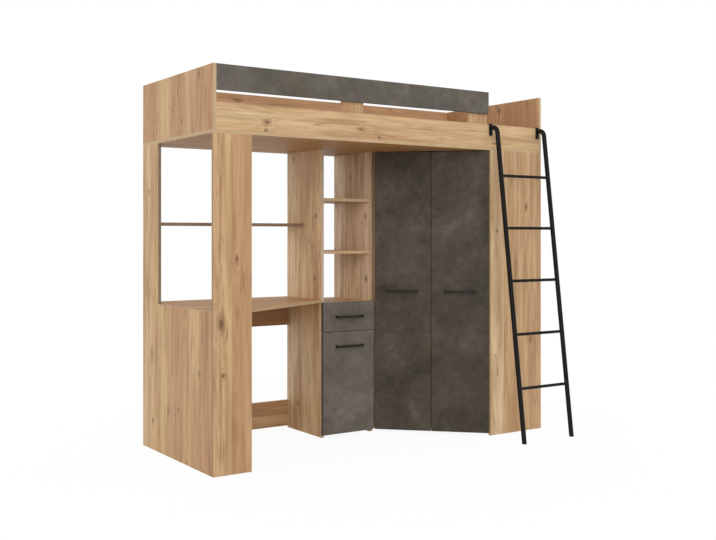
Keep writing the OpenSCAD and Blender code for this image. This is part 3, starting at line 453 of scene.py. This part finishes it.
def ring_skin(rings):
    """A closed skin over a stack of rings with equally many points. Point j of ring i is joined
    to point j + 1 and to the same two points of ring i + 1, and each end closes on the middle
    of its ring. If the volume comes out negative, the faces look inward and are turned over."""
    rings = np.asarray(rings, dtype=float)
    rows, around = rings.shape[:2]
    points = np.vstack([rings.reshape(-1, 3), rings[0].mean(0), rings[-1].mean(0)])
    step = np.arange(around)
    after = (step + 1) % around
    base = (np.arange(rows - 1) * around)[:, None]
    quads = np.stack([base + step, base + after, base + around + after, base + around + step], -1)
    quads = quads.reshape(-1, 4)
    last = (rows - 1) * around
    low_cap = np.stack([np.full(around, rows * around), after, step], -1)
    high_cap = np.stack([np.full(around, rows * around + 1), last + step, last + after], -1)
    caps = np.vstack([low_cap, high_cap])
    thirds = points[np.vstack([quads[:, :3], quads[:, (0, 2, 3)], caps])]
    if (thirds[:, 0] * np.cross(thirds[:, 1], thirds[:, 2])).sum() < 0.0:
        quads, caps = quads[:, ::-1], caps[:, ::-1]
    return points, [quads, caps]


def facing(way):
    """The turn that takes the z axis to way, as a 3 by 3 table."""
    return np.array(Vector(way).to_track_quat("Z", "Y").to_matrix())


def placed(skin, turn, place):
    """A skin turned and then moved: turn times each point, plus place."""
    points, faces = skin
    return points @ np.asarray(turn).T + place, faces


def joined(skins):
    """Several skins as one: their points in a row, and their faces counted on."""
    counts = np.cumsum([0] + [len(points) for points, _ in skins])
    faces = [group + shift for (_, groups), shift in zip(skins, counts) for group in groups]
    return np.vstack([points for points, _ in skins]), faces


def make_piece(name, skin, material, body, slot, *replaced):
    """A Blender object from a skin in plan millimetres. It rides on a body, takes the material
    given, and stands for the CAD nodes named last; the slot is not used. Edges sharper than
    35 degrees stay sharp, and the rest is shaded round."""
    points, faces = skin
    mesh = bpy.data.meshes.new(name)
    corners = [face for group in faces for face in group.tolist()]
    mesh.from_pydata(in_plan(points).tolist(), [], corners)
    mesh.polygons.foreach_set("use_smooth", np.ones(len(mesh.polygons), dtype=bool))
    mesh.set_sharp_from_angle(angle=math.radians(35.0))
    mesh.materials.append(material)
    mesh.validate()
    piece = bpy.data.objects.new(name, mesh)
    bpy.context.scene.collection.objects.link(piece)
    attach(piece, body)
    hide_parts(*replaced)


def arc(centre, radius, start, end, count):
    """Points on an arc: centre + radius (cos t, sin t), with t in degrees from start to end."""
    angle = np.radians(np.linspace(start, end, count))
    return np.stack([centre[0] + radius * np.cos(angle), centre[1] + radius * np.sin(angle)], -1)


def inset(outline, distance):
    """A closed outline with each corner moved inward along the halved angle of its two sides:
    by the sum of their normals times distance / (1 + cosine of the angle between them)."""
    before = outline - np.roll(outline, 1, 0)
    before /= np.linalg.norm(before, axis=1, keepdims=True)
    after = np.roll(before, -1, 0)
    inward = np.stack([-before[:, 1], before[:, 0]], -1) + np.stack([-after[:, 1], after[:, 0]], -1)
    return outline + inward * distance / (1.0 + (before * after).sum(1))[:, None]


def plate(outline, thickness, chamfer):
    """A flat plate from its anticlockwise outline in x and y: four rings of the outline, the
    outer two inset by the chamfer, with one many-sided face at each end."""
    outline = np.asarray(outline, dtype=float)
    small = inset(outline, chamfer)
    half = thickness / 2.0
    rows = [(small, -half), (outline, chamfer - half), (outline, half - chamfer), (small, half)]
    rings = np.stack([np.column_stack([ring, np.full(len(ring), z)]) for ring, z in rows])
    points, (sides, _) = ring_skin(rings)
    around = len(outline)
    ends = np.stack([np.arange(around)[::-1], 3 * around + np.arange(around)])
    return points[:-2], [sides, ends]


def solids_of(node):
    """The low and high corners of each separate solid of a CAD node, in plan millimetres. Its
    triangles that share a corner get one label, passed on until no label changes."""
    mesh = nodes[node].data
    points = np.empty(len(mesh.vertices) * 3)
    mesh.vertices.foreach_get("co", points)
    mesh.calc_loop_triangles()
    corners = np.empty(len(mesh.loop_triangles) * 3, dtype=np.int32)
    mesh.loop_triangles.foreach_get("vertices", corners)
    points = (points.reshape(-1, 3) - (PLAN_X, PLAN_Y, 0.0)) * 1000.0
    unique, index = np.unique(np.round(points, 2), axis=0, return_inverse=True)
    triangles = index.reshape(-1)[corners.reshape(-1, 3)]
    label = np.arange(len(unique))
    while True:
        lowest = label[triangles].min(1)
        fresh = label.copy()
        for corner in range(3):
            np.minimum.at(fresh, triangles[:, corner], lowest)
        if (fresh == label).all():
            break
        label = fresh
    used = np.unique(label[triangles])
    return [(unique[label == one].min(0), unique[label == one].max(0)) for one in used]


# Pieces


def bow_handle(width=172.0, reach=28.0, bar=8.0, leg=12.0, outer=7.0, inner=3.0, chamfer=0.9):
    """A bow handle: x runs along it and y out of the front that it stands on. Its bar and two
    legs have round outer and inner corners. It is as high as a leg is wide."""
    half = width / 2.0
    outline = [
        (half, 0.0),
        *arc((half - outer, reach - outer), outer, 0.0, 90.0, 7),
        *arc((outer - half, reach - outer), outer, 90.0, 180.0, 7),
        (-half, 0.0),
        (leg - half, 0.0),
        *arc((leg - half + inner, reach - bar - inner), inner, 180.0, 90.0, 5),
        *arc((half - leg - inner, reach - bar - inner), inner, 90.0, 0.0, 5),
        (half - leg, 0.0),
    ]
    return plate(outline, leg, chamfer)


def on_front(skin, middle, height, out):
    """Stands a handle on a front: its own x runs along the front, y out of it and z up."""
    out = np.array([out[0], out[1], 0.0])
    side = np.cross(out, (0.0, 0.0, 1.0))
    turn = np.column_stack([side, out, (0.0, 0.0, 1.0)])
    return placed(skin, turn, (middle[0], middle[1], height))


def on_door_line(u, v):
    """A place on the slanted line of the wardrobe doors, u along it and v behind it."""
    c = DOOR_FACE[0]
    return (DOOR_START[0] + c * (u + v), DOOR_START[1] + c * (v - u))


def cam_head():
    """A cam lock: a drum with a cross slot. The slot's edge is a ring of points that lie
    on the cross, so that the drum's top face runs from the rim to the slot without a gap."""
    half, reach, around = 1.0, 4.4, 24
    inner = math.degrees(math.atan2(half, reach))
    quarter = (-inner, 0.0, inner, 30.0, 45.0, 60.0)
    angle = np.radians([turn * 90.0 + a for turn in range(4) for a in quarter])
    c, s = np.abs(np.cos(angle)) + 1e-9, np.abs(np.sin(angle)) + 1e-9
    star = np.maximum(np.minimum(reach / c, half / s), np.minimum(half / c, reach / s))
    way = np.stack([np.cos(angle), np.sin(angle), np.zeros(around)], -1)
    rows = [(7.1, -12.4), (7.5, -12.0), (7.5, -0.4), (7.1, 0.0)]
    rows += [(6.2, 0.0), (6.0, -0.25), (5.2, -0.25)]
    rings = [way * radius + (0.0, 0.0, height) for radius, height in rows]
    rings += [way * star[:, None] + (0.0, 0.0, height) for height in (-0.25, -1.8)]
    return ring_skin(rings)


def socket_screw(length, head=5.0, shank=3.5):
    """A board screw, head at the top at height 0: a flat head with a hexagon socket, a neck
    and a shank whose radius swells and shrinks to a coarse thread."""
    around = 24
    angle = np.linspace(0.0, 2.0 * math.pi, around, endpoint=False)
    sixth = math.pi / 6.0
    six = 2.2 * math.cos(sixth) / np.cos((angle + sixth) % (math.pi / 3.0) - sixth)
    way = np.stack([np.cos(angle), np.sin(angle), np.zeros(around)], -1)
    thread = np.arange(-length + 3.0, -10.0, 1.2)
    rows = [(0.4, -length), *[(shank - 0.9 * (i % 2), z) for i, z in enumerate(thread)]]
    rows += [(shank - 0.6, -9.0), (shank - 0.6, -3.4)]
    rows += [(head - 0.5, -2.6), (head, -0.5), (head - 0.4, 0.0)]
    rings = [way * radius + (0.0, 0.0, height) for radius, height in rows]
    rings += [way * six[:, None] + (0.0, 0.0, height) for height in (0.0, -2.0)]
    return ring_skin(rings)


# The ladder, in plan millimetres: its lean, the stiles' axes and where they meet the floor,
# the foot caps, the bends at the top, the rungs, and the hooks with the face that the stiles
# end on
LEAN = math.radians(7.2)
STILE_X = (1658.5, 2006.5)
STILE_RADIUS = 12.5
FOOT_Y = -262.998
FOOT_CAP_LENGTH = 12.0
BEND_CENTRE = (-21.3, 1642.0)
BEND_RADIUS = 34.0
RUNG_RADIUS = 8.0
LOWEST_RUNG = 283.0
RUNG_PITCH = 282.0
RUNGS = 5
HOOK_FACE = -3.3
HOOK_WIDTH = 25.0
HOOK_CHAMFER = 0.5


def stile_line(height):
    """How far a leaning stile's axis lies behind the front, at some height."""
    return FOOT_Y + height * math.tan(LEAN)


def stile_tube(x):
    """A stile: a round tube along the lean, the bend and the level end at the hook. Each ring
    stands square to the path; the last ones swell above and below to the weld at the hook."""
    turn = np.linspace(LEAN, math.pi / 2.0, 15)
    bend_y = BEND_CENTRE[0] - BEND_RADIUS * np.cos(turn)
    bend_z = BEND_CENTRE[1] + BEND_RADIUS * np.sin(turn)
    bend = np.stack([bend_y, bend_z], -1)
    level = [(HOOK_FACE - reach, BEND_CENTRE[1] + BEND_RADIUS) for reach in (2.5, 0.9, 0.0)]
    foot = (stile_line(FOOT_CAP_LENGTH), FOOT_CAP_LENGTH)
    path = np.vstack([[foot], bend, level])
    along = np.stack([np.sin(turn), np.cos(turn)], -1)
    along = np.vstack([along[:1], along, np.tile([1.0, 0.0], (3, 1))])
    angle = np.linspace(0.0, 2.0 * math.pi, 40, endpoint=False)
    swell = np.array([0.0] * (len(path) - 2) + [0.9, 1.7])[:, None] * np.abs(np.sin(angle))
    up = (STILE_RADIUS + swell) * np.sin(angle)
    side = (STILE_RADIUS + swell) * np.cos(angle)
    y = path[:, :1] - up * along[:, 1:]
    z = path[:, 1:] + up * along[:, :1]
    return ring_skin(np.stack([x + side, y, z], -1))


def rung_tube(height):
    """A rung between the stiles. Its end rings follow the saddle where a round rung meets a
    round stile, and swell to a weld bead there."""
    angle = np.linspace(0.0, 2.0 * math.pi, 28, endpoint=False)
    rows = [(0.0, 1.9), (0.8, 1.5), (1.8, 0.7), (3.2, 0.0), (30.0, 0.0)]
    half = (STILE_X[1] - STILE_X[0]) / 2.0
    middle = (STILE_X[1] + STILE_X[0]) / 2.0
    rings = []
    for side in (-1.0, 1.0):
        for reach, swell in rows if side < 0.0 else rows[::-1]:
            r = RUNG_RADIUS + swell
            saddle = np.sqrt(STILE_RADIUS**2 - (r * np.cos(angle)) ** 2) + reach
            x = middle + side * (half - saddle)
            c, s = np.cos(angle), np.sin(angle)
            y = stile_line(height) + r * (c * math.cos(LEAN) + s * math.sin(LEAN))
            z = height + r * (s * math.cos(LEAN) - c * math.sin(LEAN))
            rings.append(np.stack([x, y, z], -1))
    return ring_skin(rings)


def hook_strap(x):
    """A hook: flat steel bent over the rail, 25 wide and 3 thick, with round outer bends."""
    outline = [
        (16.3, 1658.3),
        (19.3, 1658.3),
        *arc((15.9, 1693.9), 3.4, 0.0, 90.0, 7),
        *arc((0.1, 1693.9), 3.4, 90.0, 180.0, 7),
        (-3.3, 1633.3),
        (-0.3, 1633.3),
        (-0.3, 1694.0),
        (0.0, 1694.3),
        (16.0, 1694.3),
        (16.3, 1694.0),
    ]
    turn = [[0.0, 0.0, 1.0], [1.0, 0.0, 0.0], [0.0, 1.0, 0.0]]
    return placed(plate(outline, HOOK_WIDTH, HOOK_CHAMFER), turn, (x, 0.0, 0.0))


def foot_cap(x):
    """A plastic foot under a leaning stile: a turned cap with a groove, its sole cut level
    with the floor, and a plug up into the tube."""
    rows = [(11.6, 0.0), (12.5, 1.0), (12.5, 6.0), (12.0, 6.4), (12.0, 7.4), (12.5, 7.8)]
    rows += [(12.5, 11.4), (12.1, FOOT_CAP_LENGTH)]
    rows += [(10.9, FOOT_CAP_LENGTH), (10.9, 35.0), (9.8, 37.0)]
    angle = np.linspace(0.0, 2.0 * math.pi, 36, endpoint=False)
    radius = np.array([r for r, _ in rows])[:, None]
    along = np.array([t for _, t in rows])[:, None] * np.ones_like(angle)
    # the two lowest rings lie level, whatever the lean
    along[:2] += (radius * np.sin(angle) * math.tan(LEAN))[:2]
    y = FOOT_Y + along * math.sin(LEAN) + radius * np.sin(angle) * math.cos(LEAN)
    z = along * math.cos(LEAN) - radius * np.sin(angle) * math.sin(LEAN)
    return ring_skin(np.stack([x + radius * np.cos(angle), y, z], -1))


def dress(node, material):
    """Gives a CAD node one material."""
    mesh = nodes[node].data
    mesh.materials.clear()
    mesh.materials.append(material)


# Each oak board with the axis of its grain and the way out of its wide faces
SIDEWAYS, FORWARD, UPWARD = (1.0, 0.0, 0.0), (0.0, 1.0, 0.0), (0.0, 0.0, 1.0)
OAK_BOARDS = {
    "left_front_post": ("z", FORWARD),
    "left_rear_post": ("z", SIDEWAYS),
    "left_side_panel": ("z", SIDEWAYS),
    "divider_left": ("z", SIDEWAYS),
    "divider_right": ("z", SIDEWAYS),
    "front_right_panel": ("z", FORWARD),
    "right_side_panel": ("z", SIDEWAYS),
    "hinge_stile_left": ("z", DOOR_FACE),
    "hinge_stile_right": ("z", DOOR_FACE),
    "desk_top": ("x", UPWARD),
    "desk_back_brace": ("x", FORWARD),
    "floor_brace": ("x", FORWARD),
    "desk_shelf": ("x", UPWARD),
    "cabinet_top": ("x", UPWARD),
    "cabinet_bottom": ("x", UPWARD),
    "cabinet_shelf": ("x", UPWARD),
    "column_shelf_lower": ("x", UPWARD),
    "column_shelf_upper": ("x", UPWARD),
    "wardrobe_bottom": ("x", UPWARD),
    "wardrobe_shelf": ("x", UPWARD),
    "deck_front": ("x", UPWARD),
    "deck_rear": ("x", UPWARD),
    "end_panel_left": ("z", SIDEWAYS),
    "end_panel_right": ("z", SIDEWAYS),
    "bed_back_panel": ("x", FORWARD),
    "front_rail": ("x", FORWARD),
    "rail_upright_left": ("z", FORWARD),
    "rail_upright_right": ("z", FORWARD),
}
for number, (node, (grain, face)) in enumerate(OAK_BOARDS.items()):
    dress(node, oak_decor(node, grain, face, number))

# A concrete's clouds from dark to light, and the tint of its rusty places
# The drawer and cabinet fronts take lighter clouds than the safety rail: painted light that offsets
# the shade under the bed.
LIGHT_CONCRETE = [(0.0, "#564f47"), (0.5, "#6c655c"), (1.0, "#80796f")], "#665b4c"
RAIL_CONCRETE = [(0.0, "#514c44"), (0.5, "#605a52"), (1.0, "#726c63")], "#605645"
DARK_CONCRETE = (
    [(0.0, "#352e26"), (0.45, "#494239"), (0.75, "#554e44"), (1.0, "#665f55")],
    "#4f4230",
)
DARK_EDGE = "#3e342b"
for number, (node, face, (stops, rust)) in enumerate(
    (
        ("safety_rail", FORWARD, RAIL_CONCRETE),
        ("drawer_front", FORWARD, LIGHT_CONCRETE),
        ("cabinet_door", FORWARD, LIGHT_CONCRETE),
        ("wardrobe_door_left", DOOR_FACE, DARK_CONCRETE),
        ("wardrobe_door_right", DOOR_FACE, DARK_CONCRETE),
    )
):
    dress(node, concrete_decor(node, face, stops, rust, DARK_EDGE, number))

SATIN = {"Roughness": 0.5, "Specular IOR Level": 0.12}
MATT = {"Roughness": 0.6, "Specular IOR Level": 0.2}
DULL = {"Roughness": 0.78, "Specular IOR Level": 0.2}
ladder_coat = cloudy_coat(
    "black powder coat on steel", "#12110f", "#191716", SATIN, 0.0015, 0.07, 0.0002
)
handle_coat = cloudy_coat(
    "matt black coat on zinc alloy", "#231e1a", "#2d2723", MATT, 0.0012, 0.05, 0.0001
)
foot_plastic = cloudy_coat("black polyethylene", "#100f0e", "#181716", MATT, 0.002, 0.04, 0.0001)
hardboard = cloudy_coat("brown hardboard", "#7a6047", "#937758", DULL, 0.006, 0.2, 0.0002)
zinc = zinc_plate("bright zinc on pressed steel", "#a9acb0", "#c4c6c9")
cast_zinc = zinc_plate("nickel on cast zinc", "#9b9a97", "#b5b3ae")

for node in (
    "cam_bolts",
    "shelf_pins",
    "drawer_tracks",
    "cabinet_hinge_arms",
    "wardrobe_hinge_arms",
    "drawer_fittings",
    "cabinet_door_fittings",
    "wardrobe_fittings_left",
    "wardrobe_fittings_right",
    "hanging_rail",
    "hanging_rail_sockets",
):
    dress(node, zinc)
for node in ("cabinet_back", "wardrobe_back", "drawer_sides", "drawer_back", "drawer_bottom"):
    dress(node, hardboard)

# Handles: the middle of each front, the height there, and the way out of the front
COLUMN_FRONT = (1028.0, 446.0)
DRAWER_HEIGHT, CABINET_HEIGHT, WARDROBE_HEIGHT = 648.0, 488.0, 782.5
STRAIGHT_OUT = (0.0, -1.0)
SLANTED_OUT = (-DOOR_FACE[0], -DOOR_FACE[1])
LEFT_DOOR_MIDDLE = on_door_line(DOOR_WIDTH / 2.0, 0.0)
RIGHT_DOOR_MIDDLE = on_door_line(DOOR_WIDTH * 1.5 + DOOR_GAP, 0.0)
on_drawer = (COLUMN_FRONT, DRAWER_HEIGHT, STRAIGHT_OUT)
on_cabinet = (COLUMN_FRONT, CABINET_HEIGHT, STRAIGHT_OUT)
on_left_door = (LEFT_DOOR_MIDDLE, WARDROBE_HEIGHT, SLANTED_OUT)
on_right_door = (RIGHT_DOOR_MIDDLE, WARDROBE_HEIGHT, SLANTED_OUT)
for name, body, node, where in (
    ("drawer_pull", "drawer", "drawer_handle", on_drawer),
    ("cabinet_pull", "cabinet_door", "cabinet_door_handle", on_cabinet),
    ("wardrobe_pull_left", "wardrobe_door_left", "wardrobe_handle_left", on_left_door),
    ("wardrobe_pull_right", "wardrobe_door_right", "wardrobe_handle_right", on_right_door),
):
    skin = on_front(bow_handle(), *where)
    make_piece(name, skin, handle_coat, body, "handle_black", node)

# Ladder
for name, x in zip(("ladder_stile_left", "ladder_stile_right"), STILE_X):
    make_piece(name + "_tube", stile_tube(x), ladder_coat, "ladder", "black_steel", name)
rungs = joined([rung_tube(LOWEST_RUNG + RUNG_PITCH * i) for i in range(RUNGS)])
make_piece("ladder_rung_tubes", rungs, ladder_coat, "ladder", "black_steel", "ladder_rungs")
hooks = joined([hook_strap(x) for x in STILE_X])
make_piece("ladder_hook_straps", hooks, ladder_coat, "ladder", "black_steel", "ladder_hooks")
feet = joined([foot_cap(x) for x in STILE_X])
make_piece("ladder_foot_caps", feet, foot_plastic, "ladder", "black_plastic", "ladder_feet")

# Cam locks, each with its slot on the face that it opens in. One whose axis runs along the
# bed's length opens towards the middle of that length.
BED_MIDDLE = 1018.0
cams = []
for low, high in solids_of("cam_locks"):
    centre = (low + high) / 2.0
    axis = int(np.argmin(high - low))
    sign = (1.0 if centre[0] < BED_MIDDLE else -1.0, 1.0, -1.0)[axis]
    way = np.eye(3)[axis] * sign
    cams.append(placed(cam_head(), facing(way), centre + way * (high - low)[axis] / 2.0))
make_piece("cam_lock_drums", joined(cams), cast_zinc, "frame", "zinc_steel", "cam_locks")

# Board screws, each with its head where the CAD screw has its wide end: those that start at
# the deck's underside are driven up, with their heads below
DECK_UNDERSIDE = 1554.0
screws = []
for low, high in solids_of("board_screws"):
    centre = (low + high) / 2.0
    axis = int(np.argmax(high - low))
    length = (high - low)[axis]
    driven_up = axis == 2 and abs(low[2] - DECK_UNDERSIDE) < 1.0
    way = np.eye(3)[axis] * (-1.0 if driven_up else 1.0)
    screws.append(placed(socket_screw(length), facing(way), centre + way * length / 2.0))
make_piece("socket_screws", joined(screws), zinc, "frame", "zinc_steel", "board_screws")


def photo_camera():
    """The level camera of the photograph."""
    data = bpy.data.cameras.new("camera")
    data.sensor_width = FILM_WIDTH
    data.lens = FOCAL_PIXELS / PHOTO_WIDTH * FILM_WIDTH
    data.shift_y = -HORIZON_RISE / PHOTO_WIDTH
    data.clip_start = 0.05
    data.clip_end = 100.0
    camera = bpy.data.objects.new("camera", data)
    camera.location = CAMERA_PLACE
    camera.rotation_euler = (math.radians(90.0), 0.0, math.radians(-CAMERA_TURN))
    bpy.context.scene.collection.objects.link(camera)
    bpy.context.scene.camera = camera


def seen_directly(tree):
    """1 for the camera, a mirror or glass, and 0 for the light that falls on the object."""
    path = add(tree, "LightPath").outputs
    seen = {0: path["Is Camera Ray"], 1: path["Is Glossy Ray"]}
    seen = add(tree, "Math", seen, operation="MAXIMUM")
    return add(tree, "Math", {0: seen, 1: path["Is Transmission Ray"]}, operation="MAXIMUM")


# The share of the floor's own white in what the camera sees of it, that white's strength, and
# the strength of the world's light on the object
FLOOR_SHARE, FLOOR_WHITE, WORLD_LIGHT = 0.88, 1.05, 0.8


def white_room():
    """A white floor that keeps a faint shadow, and a world that is white to the camera and to
    mirrors but lights the object at a plain level."""
    size = 30.0
    mesh = bpy.data.meshes.new("floor")
    corners = [(-size, -size, 0.0), (size, -size, 0.0), (size, size, 0.0), (-size, size, 0.0)]
    mesh.from_pydata(corners, [], [(0, 1, 2, 3)])
    floor = bpy.data.objects.new("floor", mesh)
    bpy.context.scene.collection.objects.link(floor)
    floor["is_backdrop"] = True
    paint = bpy.data.materials.new("white studio floor")
    paint.use_nodes = True
    tree = paint.node_tree
    tree.nodes.clear()
    share = add(tree, "Math", {0: seen_directly(tree), 1: FLOOR_SHARE}, operation="MULTIPLY")
    chalk = add(tree, "BsdfDiffuse", {"Color": "#e4e4e4"})
    white = add(tree, "Emission", {"Color": "#ffffff", "Strength": FLOOR_WHITE})
    add(tree, "OutputMaterial", {"Surface": add(tree, "MixShader", {0: share, 1: chalk, 2: white})})
    mesh.materials.append(paint)

    world = bpy.data.worlds.new("studio")
    bpy.context.scene.world = world
    world.use_nodes = True
    tree = world.node_tree
    tree.nodes.clear()
    light = add(tree, "Background", {"Color": "#ffffff", "Strength": WORLD_LIGHT})
    white = add(tree, "Background", {"Color": "#ffffff", "Strength": 1.0})
    both = add(tree, "MixShader", {0: seen_directly(tree), 1: light, 2: white})
    add(tree, "OutputWorld", {"Surface": both})


def studio_sun(name, place, aim, energy, softness):
    """A soft sun that shines from place towards aim; softness is its width in degrees."""
    data = bpy.data.lights.new(name, "SUN")
    data.energy = energy
    data.angle = math.radians(softness)
    lamp = bpy.data.objects.new(name, data)
    lamp.location = place
    lamp.rotation_euler = (Vector(aim) - Vector(place)).to_track_quat("-Z", "Y").to_euler()
    bpy.context.scene.collection.objects.link(lamp)


photo_camera()
white_room()
studio_sun(
    "key light", place=(-2.87, -4.1, 2.0), aim=(0.0, 0.0, 0.9), energy=1.12, softness=50.0
)

bpy.context.scene.view_settings.view_transform = "Standard"

low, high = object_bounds()
